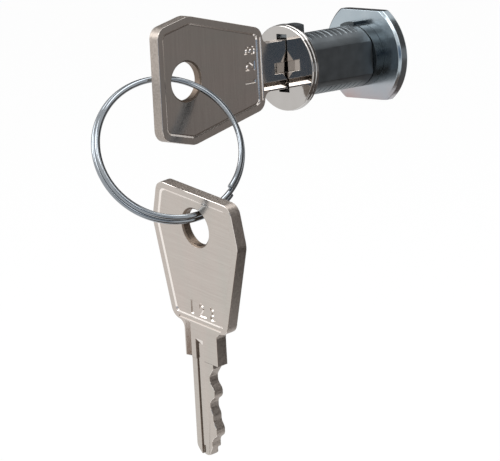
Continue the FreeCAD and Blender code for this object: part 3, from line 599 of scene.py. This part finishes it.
def ring_piece(tree):
    """The split ring: two turns of round wire, lying nearly on each other."""
    ring = empty_piece("split_ring")
    run_tree(ring, tree, {"Start Radius": RING_RADIUS - RING_GROWTH, "End Radius": RING_RADIUS + RING_GROWTH,
                          "Turns": RING_TURNS, "Pitch": RING_PITCH, "Wire": RING_WIRE,
                          "Steps": 180, "Sides": 28})
    ring.data.transform(RING_FRAME @ Matrix.Rotation(RING_ENDS, 4, "Z"))
    ease(close_mesh(ring), width=0.08, least=60)
    return smooth(ring, limit=50, has_flats=False)


def thread_tool(tree):
    """The fine thread grooves over the barrel's top and bottom, as a cutter."""
    tool = empty_piece("thread_tool")
    run_tree(tool, tree, {"Start Radius": THREAD_RADIUS, "End Radius": THREAD_RADIUS,
                          "Turns": (THREAD_TO - THREAD_FROM) / THREAD_PITCH, "Pitch": THREAD_PITCH,
                          "Wire": THREAD_GROOVE, "Steps": 64, "Sides": 8})
    middle = (THREAD_FROM + THREAD_TO) / 2
    tool.data.transform(Matrix.Translation((0, middle, 0)) @ Matrix.Rotation(-math.pi / 2, 4, "X"))
    sector = slab_tool("sector_tool", (-THREAD_HALF, -BEYOND_LOCK, -BEYOND_LOCK),
                       (THREAD_HALF, BEYOND_LOCK, BEYOND_LOCK))
    sector.data.transform(Matrix.Rotation(THREAD_TURN, 4, "Y"))
    return combine(close_mesh(tool), sector, "INTERSECT")


key_nickel = make_key_nickel("nickel_silver_key", KEY_FRAME)
spare_nickel = make_key_nickel("nickel_silver_spare_key", SPARE_FRAME)
polished_plate = make_polished_plate()
zinc_casting = make_zinc_casting()
bright_zinc = make_bright_zinc()
plug_brass = make_plug_brass()
# Steel washer, blackened: nearly black with a slight oily gloss
black_steel = make_clouded("blackened_steel_washer", "#3A3E41", "#5E6467", 2.0, 0.16, 0.4)
# Drawn spring wire, polished by wear: cold bright grey with clean highlights along the wire
ring_steel = make_clouded("bright_drawn_spring_wire", "#737980", "#A0A5A9", 5.0, 0.06, 0.12)
# Steel screw and spring washer, zinc plated: plain bright grey
zinc_steel = make_clouded("zinc_plated_steel", "#9CA0A3", "#CACED0", 1.5, 0.12, 0.4)
wound_wire = make_wound_wire(ring_steel)

# The keys: the outer edges eased, then panels, lines, hole and digits cut crisply
for node, body, local, material, ends, slopes in (
        ("key_in_lock", "key", KEY_FRAME, key_nickel, (), NECK_SLOPES),
        ("spare_key", "hanging_key", SPARE_FRAME, spare_nickel, (GROOVE_SPARE_END,), ())):
    key = ease(merged(node), width=0.12, segments=3, least=50)
    combine(key, groove_floor(local, *ends), "UNION")
    for corners in slopes:
        combine(key, slope_tool(local, corners))
    for side in (1, -1):
        combine(key, panel_tool(local, side))
        combine(key, line_tool(local, side))
    combine(key, hole_tool(local))
    tidy_faces(key)
    for number, digit in enumerate(DIGITS):
        from_middle = number - (len(DIGITS) - 1) / 2
        combine(key, digit_tool(digit, local, DIGITS_ACROSS + from_middle * DIGIT_PITCH))
    finish_piece(smooth(key, limit=18), body, material, node)

finish_piece(ring_piece(wound_wire), "ring", ring_steel, "key_ring")

housing = ease(merged("lock_housing"), width=0.12)
combine(housing, thread_tool(wound_wire))
finish_piece(smooth(housing), "lock_body", zinc_casting, "lock_housing")

for node, slot, material, width in (("face_plate", "polished_steel", polished_plate, 0.1),
                                    ("stop_washer", "black_steel", black_steel, 0.1),
                                    ("locking_disc", "bright_zinc", bright_zinc, 0.12),
                                    ("spring_washer", "steel", zinc_steel, 0.1),
                                    ("tail_screw", "steel", zinc_steel, 0.06)):
    finish_piece(smooth(ease(merged(node), width)), "turning_plug", material, node)

# The hidden pieces keep their CAD form
paint(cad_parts["plug"], plug_brass)
for number in range(1, WAFERS + 1):
    paint(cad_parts[f"wafer_{number}"], plug_brass)
    paint(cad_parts[f"wafer_spring_{number}"], zinc_steel)


def seen_rays(tree):
    """1 for rays from the camera and for those that a mirror or glass sends on, and 0 for the rest."""
    path = add(tree, "ShaderNodeLightPath").outputs
    seen = add(tree, "ShaderNodeMath", {0: path["Is Camera Ray"], 1: path["Is Glossy Ray"]},
               operation="MAXIMUM")
    return add(tree, "ShaderNodeMath", {0: seen, 1: path["Is Transmission Ray"]}, operation="MAXIMUM")


def make_world():
    """White where the camera or a mirror looks, and a plain soft grey light for the rest."""
    world = bpy.data.worlds.new("studio")
    tree = cleared_tree(world)
    soft = add(tree, "ShaderNodeBackground", {"Color": linear("#E8E9EA"), "Strength": 0.8})
    white = add(tree, "ShaderNodeBackground", {"Color": linear("#FFFFFF"), "Strength": 1.0})
    both = add(tree, "ShaderNodeMixShader", {0: seen_rays(tree), 1: soft, 2: white})
    add(tree, "ShaderNodeOutputWorld", {"Surface": both})
    bpy.context.scene.world = world


def studio_sheet(name, paper, place, size):
    """A flat sheet of a size at a place, with a new paper, and the paper's tree."""
    sheet = empty_piece(name)
    with grid_of(sheet) as grid:
        bmesh.ops.create_grid(grid, x_segments=1, y_segments=1, size=0.5)
        bmesh.ops.scale(grid, verts=grid.verts, vec=(*size, 1))
    sheet.location = place
    material = bpy.data.materials.new(paper)
    sheet.data.materials.append(material)
    return sheet, cleared_tree(material)


def make_floor():
    """A plain white floor under the hanging key; part of its light is its own, so that it meets the
    white behind, and the rest keeps the shadow."""
    floor, tree = studio_sheet("floor", "white_studio_floor", (0, 0, FLOOR_LEVEL), (FLOOR_SIZE, FLOOR_SIZE))
    paper = add(tree, "ShaderNodeBsdfDiffuse", {"Color": linear("#F2F2F2")})
    own = add(tree, "ShaderNodeEmission", {"Color": linear("#FFFFFF"), "Strength": 1.0})
    lit = add(tree, "ShaderNodeMixShader", {0: FLOOR_OWN_LIGHT, 1: paper, 2: own})
    both = add(tree, "ShaderNodeMixShader", {0: seen_rays(tree), 1: paper, 2: lit})
    add(tree, "ShaderNodeOutputMaterial", {"Surface": both})


def aimed(turned, target):
    """Turns an object's -Z to a target."""
    turned.rotation_euler = (Vector(target) - turned.location).to_track_quat("-Z", "Y").to_euler()


def make_softbox(name, place, size, watts):
    """A soft rectangular lamp that shines on the middle of the lock and its keys."""
    lamp = bpy.data.lights.new(name, "AREA")
    lamp.shape = "RECTANGLE"
    lamp.size, lamp.size_y = size
    lamp.energy = watts
    softbox = new_object(name, lamp)
    softbox.location = place
    aimed(softbox, LOCK_MIDDLE)


def make_card(name, place, size, code, target):
    """A dark studio card that only shows in mirrors; it gives the metals their dark side."""
    card, tree = studio_sheet(name, name + "_paper", place, size)
    aimed(card, target)
    glow = add(tree, "ShaderNodeEmission", {"Color": linear(code), "Strength": 1.0})
    add(tree, "ShaderNodeOutputMaterial", {"Surface": glow})
    card.visible_camera = False
    card.visible_diffuse = False
    card.visible_shadow = False


def make_floor_card(name, x, y, lift, size, code):
    """A dark card that lies over the floor, lifted a little so that it stays clear of the others."""
    make_card(name, (x, y, FLOOR_LEVEL + lift), size, code, (x, y, 1.0))


def make_camera():
    """The photograph's view."""
    data = bpy.data.cameras.new("camera")
    data.sensor_fit = "HORIZONTAL"
    data.sensor_width = SENSOR
    data.lens = CAMERA_LENS
    data.clip_start, data.clip_end = 0.05, 20.0
    camera = new_object("camera", data)
    camera.matrix_world = placed(CAMERA_PLACE, CAMERA_RIGHT, CAMERA_UP, CAMERA_RIGHT.cross(CAMERA_UP))
    bpy.context.scene.camera = camera


make_world()
make_floor()
make_softbox("softbox_left", (-0.55, -0.75, 0.55), (0.6, 0.6), 5.0)
make_softbox("softbox_top", (0.1, 0.0, 0.9), (0.7, 0.5), 4.0)
make_softbox("strip_right", (0.8, -0.55, 0.45), (0.12, 0.6), 0.8)
make_softbox("softbox_front", (0.27, -0.62, 0.61), (0.3, 0.3), 1.2)
make_card("dark_card_right", (0.34, 0.32, -0.02), (0.6, 0.14), "#929090", (0, 0, -0.02))
make_card("dark_card_right_high", (0.34, 0.32, 0.4), (0.6, 0.7), "#575452", (0, 0, 0.4))
make_floor_card("dark_card_low", 0.3, 0.295, 0.004, (0.62, 0.53), "#6A6461")
make_floor_card("dark_card_near", 0.14, 0.005, 0.006, (0.19, 0.07), "#3C3A3B")
make_card("dark_card_back", (-0.436, 0.412, 0.33), (0.72, 0.84), "#4C4A4A", (0, 0, 0.33))
make_card("dark_card_front", (0.36, -0.34, 0.005), (0.42, 0.19), "#64788F", (0, 0, 0.005))
make_floor_card("dark_card_front_low", 0.062, -0.065, 0.002, (0.1, 0.07), "#7C6E64")
make_camera()

bpy.context.scene.view_settings.view_transform = "Standard"
